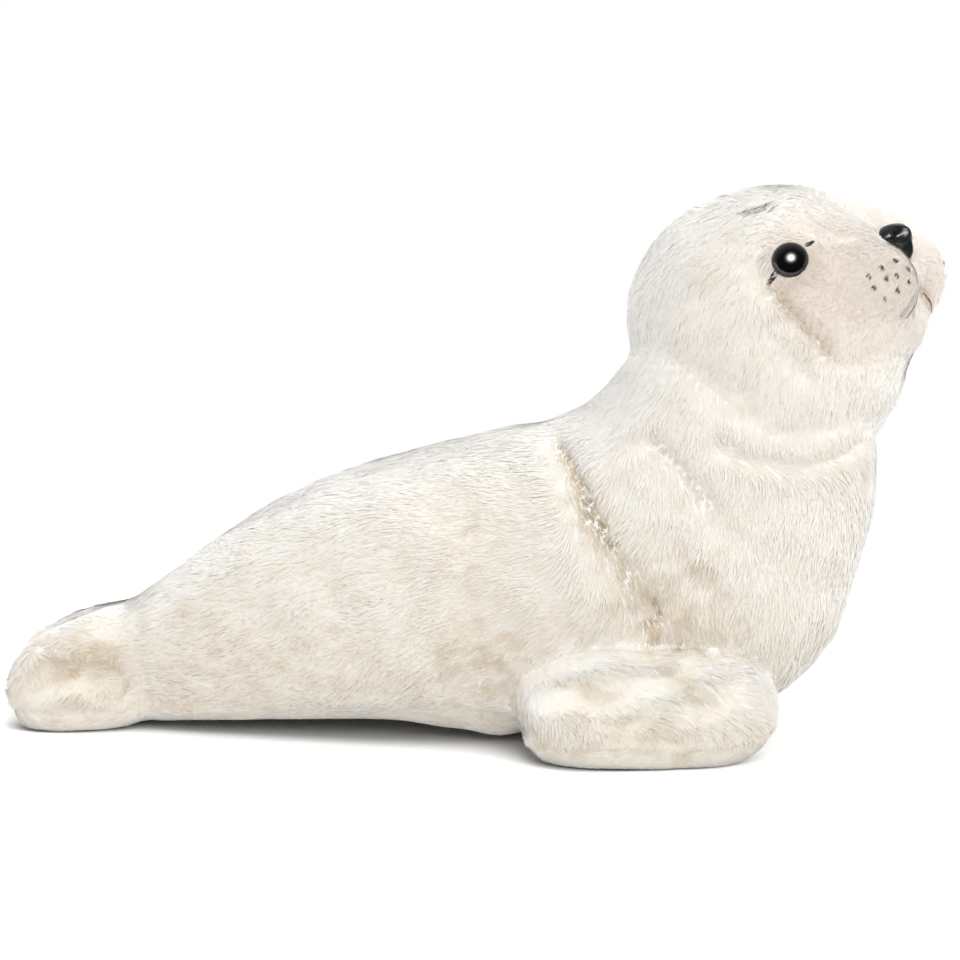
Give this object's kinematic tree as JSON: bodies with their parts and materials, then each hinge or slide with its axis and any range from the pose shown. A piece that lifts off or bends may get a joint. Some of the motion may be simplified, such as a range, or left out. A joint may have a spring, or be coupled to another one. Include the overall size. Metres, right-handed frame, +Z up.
{
  "type": "plush seal",
  "caption": "Stuffed white seal pup lying on its belly with its head raised and turned to its right, with short-pile face, domed plastic eyes and a moulded nose.",
  "frame": {"origin": "centre of the seal's box in X and Y, on the surface it lies on", "axes": "+X from tail to head along the longest extent, +Y to the seal's left, +Z up"},
  "size_m": [0.3548, 0.1844, 0.2042],
  "materials": {
    "long_pile_fur": "long soft white pile",
    "short_pile_fur": "short brushed pinkish beige pile",
    "eye_plastic": "polished black dome",
    "nose_plastic": "moulded dark grey, semi-gloss",
    "washer_plastic": "moulded, unfinished",
    "mouth_thread": "twisted dark brown thread"
  },
  "bodies": {
    "root": {"body": "long_pile_fur", "head": "long_pile_fur", "face_panel": "short_pile_fur", "belly_panel": "short_pile_fur", "front_flipper_left": "long_pile_fur", "front_flipper_right": "long_pile_fur", "hind_flipper_left": "long_pile_fur", "hind_flipper_right": "long_pile_fur", "eye_left": "eye_plastic", "eye_right": "eye_plastic", "eye_left_washer": "washer_plastic", "eye_right_washer": "washer_plastic", "nose": "nose_plastic", "nose_washer": "washer_plastic", "mouth_thread": "mouth_thread"}
  },
  "joints": []
}
